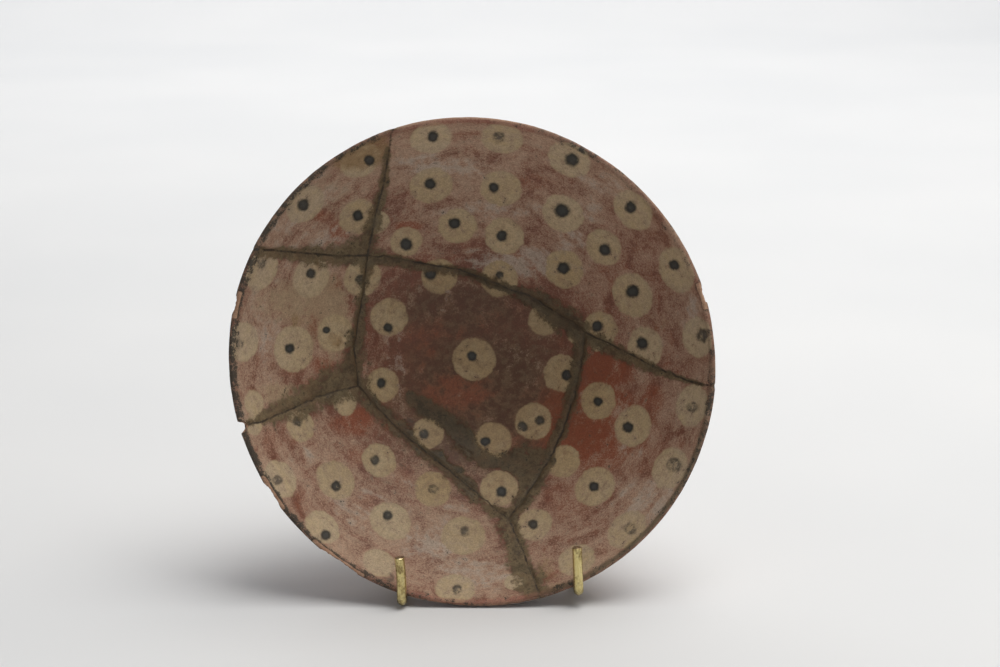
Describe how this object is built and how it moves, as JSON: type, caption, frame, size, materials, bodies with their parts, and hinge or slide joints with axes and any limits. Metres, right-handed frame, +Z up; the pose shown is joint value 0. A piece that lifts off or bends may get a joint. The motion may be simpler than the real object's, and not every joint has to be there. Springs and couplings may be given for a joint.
{
  "type": "pottery bowl on stand",
  "caption": "Deep round pottery bowl with cream spots on red slip, mended from sherds, standing upright and leaning back in a bent brass rod stand.",
  "frame": {"origin": "middle of the bounding box at table height, where the stand's rails rest", "axes": "+Z up, +Y towards the back of the stand, so the bowl's mouth faces -Y and 12 degrees up, +X to the right of someone who looks into the bowl"},
  "size_m": [0.189, 0.12, 0.1869],
  "materials": {
    "pottery": "matt red-brown slip with cream spots, worn and chalky",
    "brass": "drawn brass rod, dulled and stained brown"
  },
  "bodies": {
    "root": {"bowl": "pottery", "stand": "brass"}
  },
  "joints": []
}
